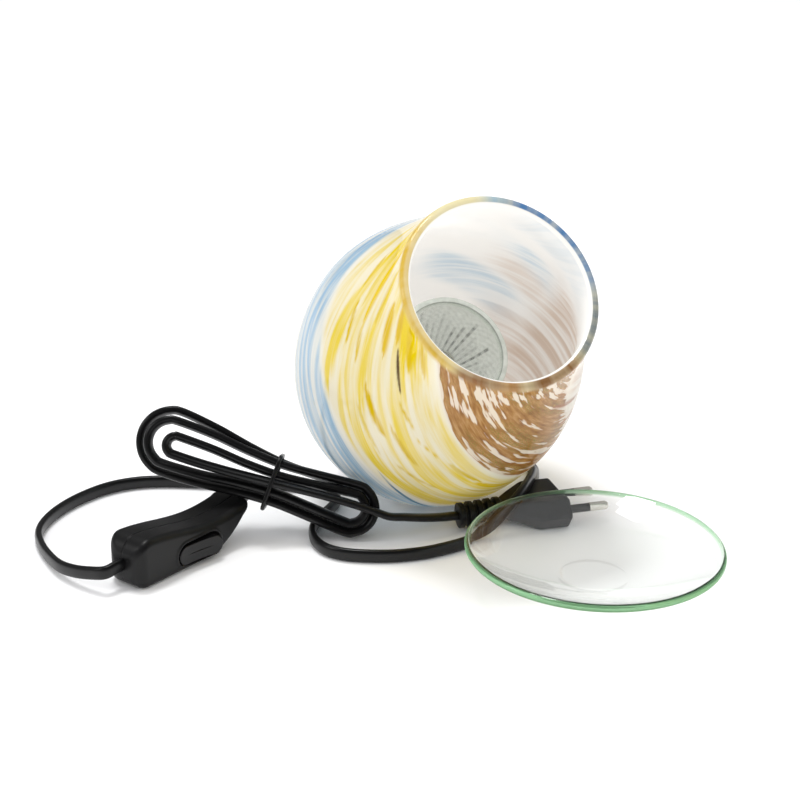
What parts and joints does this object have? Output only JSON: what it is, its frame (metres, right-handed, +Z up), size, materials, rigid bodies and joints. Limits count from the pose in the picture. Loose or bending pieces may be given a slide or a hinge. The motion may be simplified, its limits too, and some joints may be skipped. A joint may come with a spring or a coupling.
{
  "type": "electric fragrance lamp",
  "caption": "Blown glass fragrance lamp lying tipped over with a reflector bulb inside, its clear oil dish, and a flat cord with rocker switch and plug.",
  "frame": {"origin": "on the floor under the middle of the vase and dish together", "axes": "+Z up from the floor, +Y away from the viewer, +X to the viewer's right"},
  "size_m": [0.2846, 0.2, 0.1456],
  "materials": {
    "vase_glass": "cased blown glass, opal white inside, coloured swirls under clear glass",
    "base_metal": "satin",
    "black_rubber": "matte",
    "pad_rubber": "matte",
    "steel": "zinc plated",
    "ceramic": "stands for glazed ceramic",
    "brass": "plain",
    "white_plastic": "matte",
    "core_brown": "matte",
    "lead_sleeve": "matte",
    "cord_black": "soft sheen",
    "reflector": "dimpled, mirrored",
    "bulb_glass": "clear",
    "filament": "plain",
    "nickel": "nickel plated",
    "dish_glass": "clear, green at the edge",
    "switch_black": "fine satin",
    "rocker_black": "satin",
    "plug_black": "fine satin",
    "tie_black": "matte"
  },
  "bodies": {
    "lamp": {"glass_body": "vase_glass", "base_plate": "base_metal", "base_gasket": "black_rubber", "foot_pads": "pad_rubber", "glass_clips": "steel", "clip_screws": "steel", "socket_bracket": "steel", "bracket_screws": "steel", "socket_body": "ceramic", "socket_cap": "ceramic", "socket_contacts": "brass", "socket_screws": "steel", "terminal_block": "white_plastic", "terminal_screws": "steel", "mains_cores": "core_brown", "socket_leads": "lead_sleeve", "cord_bushing": "black_rubber", "cord_tail": "cord_black", "switch_front_shell": "switch_black", "switch_back_shell": "switch_black", "switch_contacts": "brass", "switch_bridge": "brass", "switch_screws": "steel", "switch_cord_grip": "switch_black", "plug_body": "plug_black", "plug_pins": "nickel", "pin_sleeves": "plug_black", "plug_relief": "plug_black", "cord_lamp_lead": "cord_black", "cord_switch_lead": "cord_black", "cord_hank": "cord_black", "cord_plug_lead": "cord_black", "hank_tie": "tie_black"},
    "bulb": {"bulb_reflector": "reflector", "bulb_cover_glass": "bulb_glass", "bulb_capsule": "bulb_glass", "bulb_filament": "filament", "bulb_base": "ceramic", "bulb_pins": "nickel"},
    "dish": {"glass_dish": "dish_glass"},
    "rocker": {"switch_rocker": "rocker_black"}
  },
  "joints": [
    {"name": "bulb_twist", "type": "hinge", "parent": "lamp", "child": "bulb", "pos_m": [-0.0348, 0.05167, 0.045], "axis": [0.3116, -0.6998, 0.6428], "range_deg": [0, 30]},
    {"name": "dish_lift", "type": "slide", "parent": "lamp", "child": "dish", "axis": [0.5997, -0.5997, 0.5298], "range_m": [0, 0.12]},
    {"name": "switch_rocker", "type": "hinge", "parent": "lamp", "child": "rocker", "pos_m": [-0.1275, -0.0285, 0.00687], "axis": [0, 0, 1], "range_deg": [0, 14]}
  ]
}
